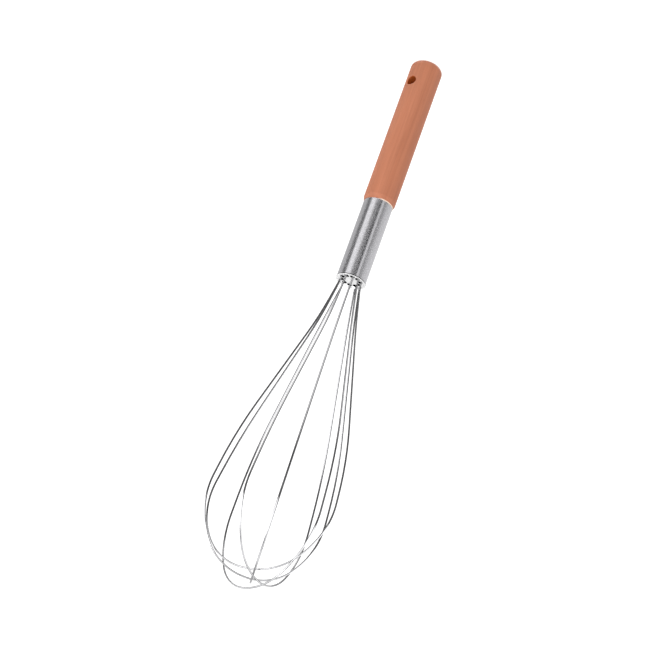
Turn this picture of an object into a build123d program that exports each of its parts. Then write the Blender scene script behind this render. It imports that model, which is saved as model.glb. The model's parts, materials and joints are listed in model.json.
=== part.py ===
"""Balloon whisk: a turned wooden handle, a steel ferrule with a perforated end cap, and
five nested wire loops whose ten legs are cast into the ferrule.

Frame: millimetres, +Z along the handle's axis from the hanging end to the balloon's tip.
The origin is the middle of the handle's hanging end, and the whisk stands on that end.
"""

import os
from math import atan, cos, pi, radians, sin, tan

from build123d import *

os.makedirs("parts", exist_ok=True)

# ---------------------------------------------------------------- driving dimensions
# handle
handle_diameter = 18.0
handle_length = 92.8  # the visible wood, from the hanging end to the ferrule
handle_crown_radius = 120.0  # the hanging end is almost flat
handle_end_rounding = 3.5
handle_shoulder_length = 2.6  # the wood tapers down here to meet the ferrule
handle_shoulder_step = 0.15  # how far the wood stands proud of the ferrule at the joint
tenon_length = 22.0

# hanging hole, drilled across the handle
hang_hole_diameter = 5.6
hang_hole_height = 15.2
hang_hole_bearing = 316.0  # direction of the drilling, in degrees about +Z from +X
hang_hole_edge_rounding = 0.35

# ferrule
ferrule_diameter = 16.4
ferrule_wall = 0.5
ferrule_length = 48.85
ferrule_edge_rounding = 0.3

# end cap
cap_thickness = 0.4
cap_diameter = 17.0  # a little proud of the ferrule
cap_edge_rounding = 0.18
cap_recess_depth = 0.6  # the perforated face is set a little below the rim
cap_skirt_depth = 5.0
cap_skirt_wall = 0.4
leg_hole_diameter = 2.6
leg_hole_pitch_radius = 5.2
leg_hole_first_bearing = 18.0
leg_hole_edge_rounding = 0.12

# wires
wire_diameter = 1.0
loop_count = 5
leg_count = 2 * loop_count
leg_radius = 5.8  # the legs lean on the outer side of their holes
leg_depth = 21.0  # how far a leg reaches below the face of the cap
foot_bend_radius = 36.0  # the first bend, where a leg leaves the cap

# the outline that every loop shares, measured from the face of the cap
foot_bend_height = 1.0
flare_radius = 10.4  # half width where the leg turns outward again
flare_height = 26.5
side_height = 105.5  # where the side starts to turn upright
side_share = 0.88  # half width there, as a share of the loop's half width
shoulder_drop = 28.0  # from the loop's tip down to its widest corner
tip_share = 0.47  # half width of the flat top of the outline
bend_share = 0.48  # share of the shorter run that each bend takes up

# inside the ferrule
seat_depth = 6.5  # from the face of the cap down to the wire seat
seat_thickness = 3.0
inner_clearance = 0.05

# Five loops bent by hand, so no two are quite alike. Feet are the bearings of the near and
# far legs. Bearing is the direction of the loop's near side above them, with the far side
# opposite. Sway is how far the tip leans sideways. Near and far give each side's half width,
# then how far it bulges past the shared outline at its side corner and at its flare.
loops = {
    "wire_loop_1": dict(
        feet=(198, 18), bearing=203.5, sway=4, tip=174.5, near=(37.5, 0.5, 1.5), far=(34, -1.5, -1)
    ),
    "wire_loop_2": dict(
        feet=(342, 162), bearing=348, sway=7.5, tip=175.5, near=(34, -0.5, -1), far=(34, 0.5, 0.5)
    ),
    "wire_loop_3": dict(
        feet=(234, 54), bearing=229, sway=-2.5, tip=183, near=(37.5, 0, 1), far=(29, 2.5, 1)
    ),
    "wire_loop_4": dict(
        feet=(306, 126), bearing=306, sway=-9, tip=179.5, near=(37.5, -3, -1), far=(32.5, 1, 0.5)
    ),
    "wire_loop_5": dict(
        feet=(266, 94), bearing=271, sway=-4, tip=178, near=(34.5, 0, 0), far=(34.5, 0, 0)
    ),
}

# ---------------------------------------------------------------- derived dimensions
handle_radius = handle_diameter / 2
ferrule_radius = ferrule_diameter / 2
shoulder_radius = ferrule_radius + handle_shoulder_step
bore_radius = ferrule_radius - ferrule_wall
ferrule_mouth = handle_length + ferrule_length
cap_radius = cap_diameter / 2
cap_rim = ferrule_mouth + cap_thickness
cap_face = cap_rim - cap_recess_depth
skirt_inner_radius = bore_radius - cap_skirt_wall
seat_top = cap_face - seat_depth
potting_top = seat_top - seat_thickness
potting_bottom = handle_length + tenon_length


def save(piece):
    """Write one finished piece to its own STEP file."""
    export_step(piece, f"parts/{piece.label}.step")


# ---------------------------------------------------------------- handle
crown_sag = handle_crown_radius - (handle_crown_radius**2 - handle_radius**2) ** 0.5
hang_hole_direction = (cos(radians(hang_hole_bearing)), sin(radians(hang_hole_bearing)), 0)

with BuildPart() as handle:
    with BuildSketch(Plane.XZ):
        with BuildLine():
            crown = RadiusArc((0, 0), (handle_radius, crown_sag), -handle_crown_radius)
            Polyline(
                crown @ 1,
                (handle_radius, handle_length - handle_shoulder_length),
                (shoulder_radius, handle_length),
                (bore_radius, handle_length),
                (bore_radius, handle_length + tenon_length),
                (0, handle_length + tenon_length),
                (0, 0),
            )
        make_face()
        end_corner = vertices().sort_by_distance((handle_radius, crown_sag))[0]
        fillet(end_corner, handle_end_rounding)
    revolve(axis=Axis.Z)
    with BuildSketch(Plane((0, 0, hang_hole_height), z_dir=hang_hole_direction)):
        Circle(hang_hole_diameter / 2)
    extrude(amount=handle_diameter, both=True, mode=Mode.SUBTRACT)
    fillet(handle.edges(Select.LAST), hang_hole_edge_rounding)
handle.part.label = "handle"
save(handle.part)

# ---------------------------------------------------------------- ferrule
with BuildPart() as ferrule:
    with BuildSketch(Plane.XY.offset(handle_length)):
        Circle(ferrule_radius)
        Circle(bore_radius, mode=Mode.SUBTRACT)
    extrude(amount=ferrule_length)
    outer_rims = ferrule.faces().sort_by(SortBy.AREA)[-1].edges().filter_by(GeomType.CIRCLE)
    fillet(outer_rims, ferrule_edge_rounding)
ferrule.part.label = "ferrule"
save(ferrule.part)

# ---------------------------------------------------------------- end cap
# A flanged cup: the rim covers the ferrule's mouth and the skirt fits its bore.
with BuildPart() as end_cap:
    with BuildSketch(Plane.XZ):
        with BuildLine():
            Polyline(
                (0, cap_face),
                (skirt_inner_radius, cap_face),
                (skirt_inner_radius, cap_rim),
                (cap_radius, cap_rim),
                (cap_radius, ferrule_mouth),
                (bore_radius, ferrule_mouth),
                (bore_radius, ferrule_mouth - cap_skirt_depth),
                (skirt_inner_radius, ferrule_mouth - cap_skirt_depth),
                (skirt_inner_radius, cap_face - cap_thickness),
                (0, cap_face - cap_thickness),
                close=True,
            )
        make_face()
        rim_corners = vertices().group_by(Axis.Y)[-1]
        fillet(rim_corners, cap_edge_rounding)
    revolve(axis=Axis.Z)
    with BuildSketch(Plane.XY.offset(cap_face)):
        with PolarLocations(leg_hole_pitch_radius, leg_count, start_angle=leg_hole_first_bearing):
            Circle(leg_hole_diameter / 2)
    extrude(amount=-2 * cap_thickness, mode=Mode.SUBTRACT)
    hole_rims = end_cap.edges(Select.LAST).group_by(Axis.Z)[-1]
    fillet(hole_rims, leg_hole_edge_rounding)
end_cap.part.label = "end_cap"
save(end_cap.part)


# ---------------------------------------------------------------- wire loops
def straight_leg(foot_bearing):
    """The straight end of a leg, from inside the ferrule to just above the cap."""
    foot = Vector(cos(radians(foot_bearing)), sin(radians(foot_bearing)), 0) * leg_radius
    return [foot + Vector(0, 0, cap_face + z) for z in (-leg_depth, foot_bend_height)]


def half_outline(tip, half_width, side_bulge, flare_bulge):
    """Corner points of one side of a loop, from the flare above the cap up to the tip."""
    return [
        (flare_radius + flare_bulge, flare_height),
        (side_share * half_width + side_bulge, side_height),
        (half_width, tip - shoulder_drop),
        (tip_share * half_width, tip),
    ]


def bend_radii(points):
    """The largest bend at each corner that leaves a short straight run between bends."""
    radii = []
    for before, corner, after in zip(points, points[1:], points[2:]):
        run_in = corner - before
        run_out = after - corner
        half_turn = radians(run_in.get_angle(run_out)) / 2
        radii.append(bend_share * min(run_in.length, run_out.length) / tan(half_turn))
    radii[0] = foot_bend_radius
    radii[-1] = foot_bend_radius
    return radii


def make_wire_loop(name, feet, bearing, sway, tip, near, far):
    """One wire, up one leg, over the tip and down the other leg, in one leaning plane."""
    lean = atan(sway / tip)
    root = Vector(0, 0, cap_face)
    outward = Vector(cos(radians(bearing)), sin(radians(bearing)), 0)
    sideways = Vector(-sin(radians(bearing)), cos(radians(bearing)), 0)
    upward = Vector(0, 0, 1) * cos(lean) + sideways * sin(lean)
    near_side = [root + outward * x + upward * y for x, y in half_outline(tip, *near)]
    far_side = [root - outward * x + upward * y for x, y in half_outline(tip, *far)]
    near_half = straight_leg(feet[0]) + near_side
    far_half = straight_leg(feet[1]) + far_side
    corners = near_half + far_half[::-1]
    radii = bend_radii(corners)
    with BuildPart() as wire_loop:
        with BuildLine() as route:
            FilletPolyline(*corners, radius=radii)
        with BuildSketch(Plane(corners[0])):
            Circle(wire_diameter / 2)
        sweep(path=route.wire())
    wire_loop.part.label = name
    length = route.wire().length
    expected_volume = length * pi * wire_diameter**2 / 4
    print(f"{name}: wire {length:.0f} mm long, tightest bend {min(radii):.1f} mm,", end=" ")
    print(f"volume {wire_loop.part.volume:.1f} of {expected_volume:.1f} mm3")
    return wire_loop.part


wire_loops = [make_wire_loop(name, **shape) for name, shape in loops.items()]
for loop in wire_loops:
    save(loop)

# ---------------------------------------------------------------- wire seat
# A disc behind the cap whose ten snug holes hold the legs apart.
with BuildPart() as wire_seat:
    with BuildSketch(Plane.XY.offset(seat_top)):
        Circle(bore_radius - inner_clearance)
    extrude(amount=-seat_thickness)
    add(wire_loops, mode=Mode.SUBTRACT)
wire_seat.part.label = "wire_seat"
save(wire_seat.part)

# ---------------------------------------------------------------- potting
# Resin cast round the ends of the legs, filling the ferrule down to the handle's tenon.
with BuildPart() as potting:
    with BuildSketch(Plane.XY.offset(potting_top)):
        Circle(bore_radius)
    extrude(amount=potting_bottom - potting_top)
    add(wire_loops, mode=Mode.SUBTRACT)
potting.part.label = "potting"
save(potting.part)

print(f"cap face at {cap_face:.1f} mm, potting bottom at {potting_bottom:.1f} mm")
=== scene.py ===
"""A balloon whisk in a plain white studio, standing on the end of its wooden handle.

Units are metres, in the part's own frame: +Z up the handle's axis, -Y towards the viewer.
"""

import json
from math import atan, cos, pi, radians, sin, tan

import bmesh
import bpy
from mathutils import Matrix, Vector


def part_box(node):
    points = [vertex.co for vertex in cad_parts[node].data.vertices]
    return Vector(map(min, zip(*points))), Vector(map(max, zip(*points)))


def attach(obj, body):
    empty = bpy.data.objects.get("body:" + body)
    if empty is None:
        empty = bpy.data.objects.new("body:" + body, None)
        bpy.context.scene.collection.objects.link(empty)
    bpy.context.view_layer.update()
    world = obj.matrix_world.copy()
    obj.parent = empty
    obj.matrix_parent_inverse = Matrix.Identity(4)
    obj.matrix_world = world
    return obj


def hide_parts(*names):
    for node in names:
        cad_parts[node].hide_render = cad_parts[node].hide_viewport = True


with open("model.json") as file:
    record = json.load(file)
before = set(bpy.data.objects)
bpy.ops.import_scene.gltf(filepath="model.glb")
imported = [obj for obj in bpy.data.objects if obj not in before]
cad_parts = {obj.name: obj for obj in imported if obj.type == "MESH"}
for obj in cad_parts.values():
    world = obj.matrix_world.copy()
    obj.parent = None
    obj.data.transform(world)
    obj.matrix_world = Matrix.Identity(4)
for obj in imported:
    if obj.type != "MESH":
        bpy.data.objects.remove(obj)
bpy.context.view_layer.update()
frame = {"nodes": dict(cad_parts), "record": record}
nodes = frame["nodes"]
MM = 0.001
CAP_RECESS_DEPTH = 0.6 * MM  # from the cap's rim down to its perforated face

# ---------------------------------------------------------------- places taken from the frame
ferrule_low, ferrule_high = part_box("ferrule")
cap_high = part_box("end_cap")[1]
handle_joint = ferrule_low.z  # where the visible wood ends
cap_radius = cap_high.x
cap_face = cap_high.z - CAP_RECESS_DEPTH
hang_hole = next(m for m in frame["record"]["mounts"] if m["name"] == "hang_hole")
hang_hole_centre = Vector(hang_hole["pos_m"])
hang_hole_axis = Vector(hang_hole["axis"])
hang_hole_radius = hang_hole["dims"]["r_mm"] * MM

# the ring of leg holes in the cap, as in the part
LEG_COUNT = 10
LEG_HOLE_RADIUS = 1.3 * MM
LEG_HOLE_PITCH_RADIUS = 5.2 * MM
LEG_HOLE_FIRST_BEARING = 18.0


# ---------------------------------------------------------------- node helpers
class Nodes:
    """A small helper that adds shader nodes and wires them up."""

    def __init__(self, owner):
        owner.use_nodes = True
        self.tree = owner.node_tree
        self.tree.nodes.clear()

    def add(self, kind, settings=None, **sockets):
        node = self.tree.nodes.new(kind)
        for name, value in (settings or {}).items():
            setattr(node, name, value)
        for name, value in sockets.items():
            self.feed(node, name.replace("_", " "), value)
        return node

    def feed(self, node, name, value):
        socket = node.inputs[int(name)] if name.isdigit() else node.inputs[name]
        if isinstance(value, bpy.types.NodeSocket):
            self.tree.links.new(value, socket)
        else:
            socket.default_value = value

    def math(self, operation, *values):
        node = self.add("ShaderNodeMath", {"operation": operation})
        for index, value in enumerate(values):
            self.feed(node, str(index), value)
        return node.outputs[0]

    def vector(self, operation, *values, output=0):
        node = self.add("ShaderNodeVectorMath", {"operation": operation})
        for index, value in enumerate(values):
            self.feed(node, str(index), value)
        return node.outputs[output]

    def place(self):
        """Where a point of the surface is in the part's frame, in metres."""
        return self.add("ShaderNodeTexCoord").outputs["Object"]

    def split(self, vector):
        return self.add("ShaderNodeSeparateXYZ", Vector=vector).outputs

    def noise(self, vector, stretch, detail=3.0, roughness=0.5, distortion=0.0):
        """Noise whose cells are 1/stretch metres along each axis."""
        scaled = self.vector("MULTIPLY", vector, stretch)
        node = self.add(
            "ShaderNodeTexNoise",
            Vector=scaled,
            Scale=1.0,
            Detail=detail,
            Roughness=roughness,
            Distortion=distortion,
        )
        return node.outputs["Fac"]

    def ramp(self, factor, stops):
        """A colour ramp: stops are (position, colour or grey)."""
        node = self.add("ShaderNodeValToRGB", Fac=factor)
        ramp = node.color_ramp
        while len(ramp.elements) < len(stops):
            ramp.elements.new(1.0)
        for element, (position, colour) in zip(ramp.elements, stops):
            element.position = position
            if isinstance(colour, (int, float)):
                colour = (colour, colour, colour)
            element.color = (*colour, 1.0)
        return node.outputs["Color"]

    def span(self, value, low, high, to_low=0.0, to_high=1.0):
        """Maps low..high to to_low..to_high with soft ends, clamped."""
        node = self.add(
            "ShaderNodeMapRange",
            {"interpolation_type": "SMOOTHSTEP"},
            Value=value,
            From_Min=low,
            From_Max=high,
            To_Min=to_low,
            To_Max=to_high,
        )
        return node.outputs[0]

    def span_linear(self, value, low, high):
        """Maps low..high to 0..1 evenly, clamped."""
        node = self.add("ShaderNodeMapRange", Value=value, From_Min=low, From_Max=high)
        return node.outputs[0]

    def mix(self, factor, first, second, blend="MIX"):
        node = self.add("ShaderNodeMix", {"data_type": "RGBA", "blend_type": blend})
        for index, value in ((0, factor), (6, first), (7, second)):
            if isinstance(value, tuple) and len(value) == 3:
                value = (*value, 1.0)
            self.feed(node, str(index), value)
        return node.outputs[2]

    def bump(self, height, strength, distance):
        node = self.add("ShaderNodeBump", Height=height, Strength=strength, Distance=distance)
        return node.outputs[0]

    def metal(self, colour, rough, relief):
        """A metal shader: relief is its bump's height, strength and distance."""
        shader = self.add("ShaderNodeBsdfPrincipled", Base_Color=colour, Metallic=1.0)
        self.feed(shader, "Roughness", rough)
        self.feed(shader, "Normal", self.bump(*relief))
        return shader

    def surface(self, shader):
        output = self.add("ShaderNodeOutputMaterial")
        self.tree.links.new(shader.outputs[0], output.inputs["Surface"])


def new_material(name):
    material = bpy.data.materials.new(name)
    return material, Nodes(material)


# ---------------------------------------------------------------- materials
def beech_material():
    """Oiled beech: straight grain up the handle, fine dark flecks, a stained hanging hole."""
    material, n = new_material("beech_satin")
    place = n.place()
    broad = n.noise(place, (120, 120, 7), detail=4, distortion=0.6)
    fine = n.noise(place, (900, 900, 22), detail=5, roughness=0.6)
    fleck = n.noise(place, (2600, 2600, 260), detail=1)
    colour = n.ramp(
        broad,
        [
            (0.25, (0.345, 0.116, 0.057)),
            (0.5, (0.382, 0.134, 0.068)),
            (0.75, (0.425, 0.156, 0.082)),
        ],
    )
    streak = n.span(fine, 0.35, 0.7, 0.90, 1.06)
    colour = n.mix(1.0, colour, n.ramp(streak, [(0.0, 0.0), (1.0, 1.0)]), "MULTIPLY")
    fleck_mask = n.span(fleck, 0.66, 0.74)
    colour = n.mix(n.math("MULTIPLY", fleck_mask, 0.35), colour, (0.30, 0.10, 0.05))

    # the wall of the hanging hole is stained dark by oil, and the stain fades out past its edge
    from_hole = n.vector("SUBTRACT", place, tuple(hang_hole_centre))
    across = n.vector("CROSS_PRODUCT", from_hole, tuple(hang_hole_axis))
    hole_distance = n.vector("LENGTH", across, output=1)
    inside = n.span(hole_distance, hang_hole_radius + 0.35 * MM, hang_hole_radius + 0.05 * MM)
    colour = n.mix(inside, colour, (0.33, 0.070, 0.012))

    # a pale line along the cut edge of the shoulder, on the -X side only: the wood's paler cut edge
    # with a painted highlight along it, where the light catches it on that side
    axes = n.split(place)
    cut_edge = n.span(axes[2], handle_joint - 0.35 * MM, handle_joint - 0.20 * MM)
    highlight_side = n.span(axes[0], 1.5 * MM, -1.5 * MM)
    colour = n.mix(n.math("MULTIPLY", cut_edge, highlight_side), colour, (0.76, 0.62, 0.50))

    rough = n.span(fine, 0.3, 0.75, 0.42, 0.58)
    relief = n.math("MULTIPLY", fleck_mask, -0.6)
    relief = n.math("ADD", relief, n.math("MULTIPLY", fine, 0.5))
    shader = n.add("ShaderNodeBsdfPrincipled", Base_Color=colour, Roughness=rough)
    n.feed(shader, "Normal", n.bump(relief, 0.35, 0.06 * MM))
    shader.inputs["Specular IOR Level"].default_value = 0.28
    shader.inputs["Coat Weight"].default_value = 0.05
    shader.inputs["Coat Roughness"].default_value = 0.35
    n.surface(shader)
    return material


def ferrule_material():
    """Satin stainless tube: a fine directional grain, and a painted shade line at the joint under
    the cap.
    """
    material, n = new_material("ferrule_satin_steel")
    place = n.place()
    height = n.split(place)[2]
    grain = n.noise(place, (1500, 1500, 700), detail=4, roughness=0.7)
    cloud = n.noise(place, (160, 160, 60), detail=3)
    colour = n.ramp(grain, [(0.3, (0.78, 0.772, 0.802)), (0.7, (0.913, 0.903, 0.938))])
    # a painted shade line where the cap's flange meets the mouth of the tube, standing in for the
    # shade in the groove there
    joint_shade = n.span(height, ferrule_high.z - 0.50 * MM, ferrule_high.z - 0.25 * MM)
    colour = n.mix(joint_shade, colour, (0.06, 0.06, 0.06))
    rough = n.math("ADD", n.span(grain, 0.3, 0.7, 0.13, 0.18), n.math("MULTIPLY", cloud, 0.04))
    shader = n.metal(colour, rough, (grain, 0.10, 0.02 * MM))
    shader.inputs["Anisotropic"].default_value = 0.5
    shader.inputs["Anisotropic Rotation"].default_value = 0.25
    tangent = n.add("ShaderNodeTangent", {"direction_type": "RADIAL", "axis": "Z"})
    n.feed(shader, "Tangent", tangent.outputs[0])
    n.surface(shader)
    return material


def cap_material():
    """Bright pressed steel with faint dulling, fine scratches, painted shade in its leg holes,
    underside and under its flange, and a dark ring round each leg hole.
    """
    material, n = new_material("cap_bright_steel")
    place = n.place()
    patches = n.noise(place, (420, 420, 420), detail=4, roughness=0.6)
    scratches = n.noise(place, (5000, 350, 800), detail=3)
    colour = n.ramp(patches, [(0.3, (0.74, 0.74, 0.745)), (0.7, (0.90, 0.90, 0.90))])
    # painted shade darkens the underside, the walls of the leg holes and a line under the flange
    axes = n.split(place)
    height = axes[2]
    from_axis = n.vector("LENGTH", n.vector("MULTIPLY", place, (1, 1, 0)), output=1)
    within = n.span(from_axis, cap_radius - 0.55 * MM, cap_radius - 0.75 * MM)
    below = n.span(height, cap_face - 0.10 * MM, cap_face - 0.16 * MM)
    colour = n.mix(n.math("MULTIPLY", within, below), colour, (0.015, 0.015, 0.015))
    # the painted shade line under the flange, on the outside of the cap
    flange_shade_line = n.span(height, ferrule_high.z + 0.37 * MM, ferrule_high.z + 0.28 * MM)
    outside = n.math("SUBTRACT", 1.0, within)
    colour = n.mix(n.math("MULTIPLY", outside, flange_shade_line), colour, (0.05, 0.05, 0.05))
    # a thin dark ring is painted round each leg hole, the same for every hole
    bearing = n.math("ARCTAN2", axes[1], axes[0])
    half_step = pi / LEG_COUNT
    off_hole = n.math("SUBTRACT", bearing, radians(LEG_HOLE_FIRST_BEARING))
    off_hole = n.math("WRAP", off_hole, half_step, -half_step)
    radial = n.math("MULTIPLY", from_axis, n.math("COSINE", off_hole))
    radial = n.math("SUBTRACT", radial, LEG_HOLE_PITCH_RADIUS)
    tangential = n.math("MULTIPLY", from_axis, n.math("SINE", off_hole))
    squares = [n.math("MULTIPLY", distance, distance) for distance in (radial, tangential)]
    from_hole = n.math("SQRT", n.math("ADD", *squares))
    ring = n.span(from_hole, LEG_HOLE_RADIUS + 0.14 * MM, LEG_HOLE_RADIUS + 0.04 * MM)
    colour = n.mix(n.math("MULTIPLY", ring, 0.92), colour, (0.03, 0.03, 0.03))
    dulling = n.span(patches, 0.3, 0.7, 0.20, 0.34)
    rough = n.math("ADD", dulling, n.math("MULTIPLY", scratches, 0.08))
    n.surface(n.metal(colour, rough, (patches, 0.25, 0.05 * MM)))
    return material


def wire_material():
    """Drawn stainless wire: fine draw lines along its length and slight dulling in places."""
    material, n = new_material("wire_drawn_steel")
    place = n.place()
    lines = n.noise(place, (6000, 6000, 120), detail=3, roughness=0.6)
    patches = n.noise(place, (160, 160, 90), detail=3)
    colour = n.ramp(patches, [(0.3, (0.24, 0.24, 0.245)), (0.7, (0.30, 0.30, 0.305))])
    rough = n.math("ADD", n.span(lines, 0.3, 0.7, 0.07, 0.12), n.math("MULTIPLY", patches, 0.03))
    n.surface(n.metal(colour, rough, (lines, 0.15, 0.01 * MM)))
    return material


def inner_material(name, dark, light, roughness):
    """A plain inner piece, seen only through the holes in the cap."""
    material, n = new_material(name)
    grain = n.noise(n.place(), (1500, 1500, 1500), detail=3)
    colour = n.ramp(grain, [(0.3, dark), (0.7, light)])
    shader = n.add(
        "ShaderNodeBsdfPrincipled",
        Base_Color=colour,
        Roughness=n.span(grain, 0.3, 0.7, roughness, roughness + 0.15),
    )
    n.feed(shader, "Normal", n.bump(grain, 0.2, 0.05 * MM))
    n.surface(shader)
    return material


# ---------------------------------------------------------------- wire loops
# These repeat the part's own dimensions for the wires. In each loop the angles are in degrees
# and the rest is in millimetres. Near and far give a side's half width, then how far it bulges
# past the shared outline at its side corner and at its flare.
WIRE_RADIUS = 0.5 * MM
WIRE_SIDES = 24
LEG_RADIUS = 5.8 * MM
LEG_DEPTH = 21.0 * MM
FOOT_BEND_RADIUS = 36.0 * MM
FOOT_BEND_HEIGHT = 1.0 * MM
FLARE_RADIUS = 10.4 * MM
FLARE_HEIGHT = 26.5 * MM
SIDE_HEIGHT = 105.5 * MM
SIDE_SHARE = 0.88
SHOULDER_DROP = 28.0 * MM
TIP_SHARE = 0.47
BEND_SHARE = 0.48
ARC_STEP = radians(1.5)  # how finely the bends are divided
LOOPS = {
    "wire_loop_1": dict(
        feet=(198, 18), bearing=203.5, sway=4, tip=174.5, near=(37.5, 0.5, 1.5), far=(34, -1.5, -1)
    ),
    "wire_loop_2": dict(
        feet=(342, 162), bearing=348, sway=7.5, tip=175.5, near=(34, -0.5, -1), far=(34, 0.5, 0.5)
    ),
    "wire_loop_3": dict(
        feet=(234, 54), bearing=229, sway=-2.5, tip=183, near=(37.5, 0, 1), far=(29, 2.5, 1)
    ),
    "wire_loop_4": dict(
        feet=(306, 126), bearing=306, sway=-9, tip=179.5, near=(37.5, -3, -1), far=(32.5, 1, 0.5)
    ),
    "wire_loop_5": dict(
        feet=(266, 94), bearing=271, sway=-4, tip=178, near=(34.5, 0, 0), far=(34.5, 0, 0)
    ),
}


def polar(bearing):
    return Vector((cos(radians(bearing)), sin(radians(bearing)), 0))


def straight_leg(foot_bearing):
    """The straight end of a leg, from inside the ferrule to just above the cap."""
    foot = polar(foot_bearing) * LEG_RADIUS
    return [foot + Vector((0, 0, cap_face + z)) for z in (-LEG_DEPTH, FOOT_BEND_HEIGHT)]


def half_outline(tip, half_width, side_bulge, flare_bulge):
    """Corner points of one side of a loop, from the flare above the cap up to the tip."""
    return [
        (FLARE_RADIUS + flare_bulge * MM, FLARE_HEIGHT),
        ((SIDE_SHARE * half_width + side_bulge) * MM, SIDE_HEIGHT),
        (half_width * MM, tip * MM - SHOULDER_DROP),
        (TIP_SHARE * half_width * MM, tip * MM),
    ]


def rounded(corners):
    """Points along straight runs joined by tangent arcs, close together on the arcs."""
    points = [corners[0]]
    last = len(corners) - 2
    for index in range(1, len(corners) - 1):
        before, corner, after = corners[index - 1 : index + 2]
        run_in, run_out = corner - before, after - corner
        half_turn = run_in.angle(run_out) / 2
        reach = BEND_SHARE * min(run_in.length, run_out.length)
        if index in (1, last):
            reach = FOOT_BEND_RADIUS * tan(half_turn)
        radius = reach / tan(half_turn)
        run_in, run_out = run_in.normalized(), run_out.normalized()
        start = corner - run_in * reach
        centre = corner + (run_out - run_in).normalized() * radius / cos(half_turn)
        spoke = start - centre
        steps = max(3, round(2 * half_turn / ARC_STEP))
        for step in range(steps + 1):
            turn = 2 * half_turn * step / steps
            points.append(centre + spoke * cos(turn) + run_in * radius * sin(turn))
    points.append(corners[-1])
    return points


def loop_line(feet, bearing, sway, tip, near, far):
    """The centre line of one wire and the normal of its loop's plane, in the part's frame."""
    lean = atan(sway / tip)
    root = Vector((0, 0, cap_face))
    outward = polar(bearing)
    upward = Vector((0, 0, cos(lean))) + polar(bearing + 90) * sin(lean)
    near_side = [root + outward * x + upward * y for x, y in half_outline(tip, *near)]
    far_side = [root - outward * x + upward * y for x, y in half_outline(tip, *far)]
    near_half = straight_leg(feet[0]) + near_side
    far_half = straight_leg(feet[1]) + far_side
    return rounded(near_half + far_half[::-1]), outward.cross(upward)


def make_wire(name, line, plane_normal):
    """A round wire swept along its centre line."""
    mesh = bpy.data.meshes.new(name)
    shape = bmesh.new()
    rings = []
    for index, point in enumerate(line):
        ahead = line[min(index + 1, len(line) - 1)]
        behind = line[max(index - 1, 0)]
        along = (ahead - behind).normalized()
        side = along.cross(plane_normal).normalized()
        other = along.cross(side)
        ring = []
        for corner in range(WIRE_SIDES):
            angle = 2 * pi * corner / WIRE_SIDES
            offset = side * cos(angle) + other * sin(angle)
            ring.append(shape.verts.new(point + offset * WIRE_RADIUS))
        rings.append(ring)
    for low, high in zip(rings, rings[1:]):
        for corner in range(WIRE_SIDES):
            following = (corner + 1) % WIRE_SIDES
            shape.faces.new((low[corner], low[following], high[following], high[corner]))
    shape.faces.new(rings[0][::-1])
    shape.faces.new(rings[-1])
    bmesh.ops.recalc_face_normals(shape, faces=shape.faces)
    shape.to_mesh(mesh)
    shape.free()
    mesh.shade_smooth()
    piece = bpy.data.objects.new(name, mesh)
    bpy.context.scene.collection.objects.link(piece)
    return piece


def build_wires(material):
    for node, dimensions in LOOPS.items():
        line, plane_normal = loop_line(**dimensions)
        piece = make_wire(node.replace("wire_loop", "bent_wire"), line, plane_normal)
        piece.data.materials.append(material)
        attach(piece, "root")
        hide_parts(node)


def paint(node, material):
    """Give a CAD node its finished material."""
    piece = nodes[node]
    piece.data.materials.clear()
    piece.data.materials.append(material)


# ---------------------------------------------------------------- studio
def build_floor():
    """A white table lit from below, so that the whisk throws no shadow on it."""
    mesh = bpy.data.meshes.new("floor")
    half = 6.0
    mesh.from_pydata(
        [(-half, -half, 0), (half, -half, 0), (half, half, 0), (-half, half, 0)], [], [(0, 1, 2, 3)]
    )
    floor = bpy.data.objects.new("floor", mesh)
    bpy.context.scene.collection.objects.link(floor)
    material, n = new_material("floor_light_table")
    grain = n.noise(n.place(), (300, 300, 300), detail=2)
    colour = n.ramp(grain, [(0.3, 0.28), (0.7, 0.32)])
    shader = n.add("ShaderNodeBsdfPrincipled", Base_Color=colour, Roughness=0.9)
    shader.inputs["Emission Color"].default_value = (1.0, 1.0, 1.0, 1.0)
    shader.inputs["Emission Strength"].default_value = 0.9
    n.surface(shader)
    mesh.materials.append(material)
    floor.visible_glossy = False


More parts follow.
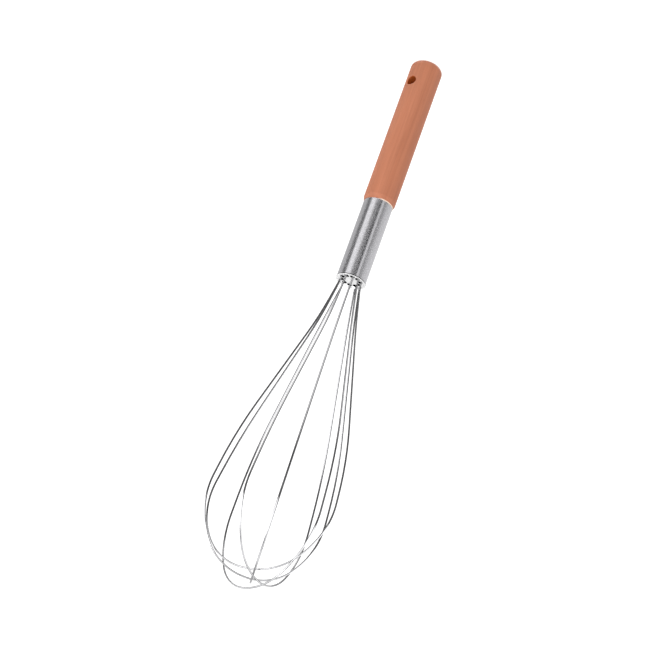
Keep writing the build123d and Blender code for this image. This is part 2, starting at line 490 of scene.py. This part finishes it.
def build_surroundings():
    """White walls for plain light, and panels and dark gaps that only the metal reflects."""
    world = bpy.data.worlds.new("studio")
    bpy.context.scene.world = world
    n = Nodes(world)
    direction = n.add("ShaderNodeTexCoord").outputs["Generated"]
    axes = n.split(direction)
    elevation = n.math("MULTIPLY", n.math("ARCSINE", axes[2]), 180 / pi)
    # around is 0.5 towards the viewer, 0.75 at +X, 0.25 at -X, and 0 and 1 behind the whisk
    toward_viewer = n.math("MULTIPLY", axes[1], -1.0)
    bearing = n.math("ARCTAN2", axes[0], toward_viewer)
    around = n.math("ADD", n.math("DIVIDE", bearing, 2 * pi), 0.5)
    panels = n.ramp(
        around,
        [
            (0.00, 0.90), (0.16, 0.86), (0.27, 0.80), (0.33, 0.55), (0.37, 0.42),
            (0.39, 0.60), (0.405, 1.00), (0.425, 0.85), (0.45, 0.15), (0.485, 0.14),
            (0.50, 0.28), (0.54, 0.36), (0.56, 0.60), (0.585, 1.10), (0.66, 1.22),
            (0.69, 0.24), (0.74, 0.22), (0.79, 0.62), (0.90, 0.66), (1.00, 0.90),
        ],
    )
    # the panels are brightest along their middles
    middle = n.ramp(
        n.span_linear(elevation, -40, -10),
        [
            (0.00, 0.25), (0.26, 0.32), (0.38, 0.76), (0.55, 0.80),
            (0.68, 0.55), (0.80, 0.45), (1.00, 0.45),
        ],
    )
    panels = n.mix(1.0, panels, middle, "MULTIPLY")
    # the ceiling is brightest on the viewer's side, with one dark beam across it
    off_centre = n.math("ABSOLUTE", n.math("SUBTRACT", around, 0.5))
    facing = n.span(off_centre, 0.30, 0.42, 1.0, 0.0)
    wall = n.span(elevation, 24, 8)
    front = n.mix(wall, (2.7, 2.7, 2.7), (4.2, 4.2, 4.2))
    ceiling = n.mix(facing, (1.05, 1.05, 1.05), front)
    beam = n.math("MULTIPLY", n.span(elevation, 35, 38), n.span(elevation, 51, 48))
    beam = n.math("MULTIPLY", beam, n.span(off_centre, 0.25, 0.18))
    ceiling = n.mix(beam, ceiling, (0.15, 0.15, 0.15))
    # the pale ground starts lower down on the -X side of the viewer, and darkens straight below
    lower_by = 8.0  # degrees
    lower = n.math("MULTIPLY", n.span(around, 0.48, 0.43), n.span(around, 0.22, 0.28))
    ground_angle = n.math("ADD", elevation, n.math("MULTIPLY", lower, lower_by))
    underfoot = n.span(elevation, -54, -64)
    ground = n.mix(underfoot, (2.5, 2.5, 2.5), (0.7, 0.7, 0.7))
    glossy = n.mix(n.span(ground_angle, -35, -44), panels, ground)
    glossy = n.mix(n.span(elevation, -9.5, -4.5), glossy, ceiling)
    light_path = n.add("ShaderNodeLightPath").outputs
    seen = n.mix(light_path["Is Glossy Ray"], (1.0, 1.0, 1.0), glossy)
    background = n.add("ShaderNodeBackground", Color=seen, Strength=1.0)
    output = n.add("ShaderNodeOutputWorld")
    n.tree.links.new(background.outputs[0], output.inputs["Surface"])


def build_lights():
    aim = Vector((0, 0, 0.12))  # a point on the ferrule
    for name, place, size, power in (
        ("key_softbox", Vector((0.9, -1.1, 1.0)), 0.9, 11.0),
        ("fill_softbox", Vector((-1.2, -0.8, 0.9)), 1.2, 1.5),
    ):
        lamp = bpy.data.lights.new(name, "AREA")
        lamp.shape = "DISK"
        lamp.size = size
        lamp.energy = power
        light = bpy.data.objects.new(name, lamp)
        light.location = place
        light.rotation_euler = (aim - place).to_track_quat("-Z", "Y").to_euler()
        bpy.context.scene.collection.objects.link(light)


def build_camera():
    """The view is tilted down and rolled, so that the handle is at the upper right."""
    camera = bpy.data.objects.new("camera", bpy.data.cameras.new("camera"))
    bpy.context.scene.collection.objects.link(camera)
    camera.data.angle = radians(14.38)
    camera.data.clip_end = 50
    place = (0.00496, -1.25158, 0.74129)
    tilt_down = radians(24.486)
    roll = radians(-160.061)
    turn = Matrix.Rotation(pi / 2 - tilt_down, 4, "X") @ Matrix.Rotation(roll, 4, "Z")
    camera.matrix_world = Matrix.Translation(place) @ turn
    bpy.context.scene.camera = camera


# ---------------------------------------------------------------- build
paint("handle", beech_material())
paint("ferrule", ferrule_material())
paint("end_cap", cap_material())
paint("wire_seat", inner_material("seat_dark_nylon", 0.02, 0.035, 0.5))
paint("potting", inner_material("potting_resin", (0.30, 0.20, 0.08), (0.36, 0.25, 0.11), 0.3))
build_wires(wire_material())
build_floor()
build_surroundings()
build_lights()
build_camera()
bpy.context.scene.view_settings.view_transform = "Standard"
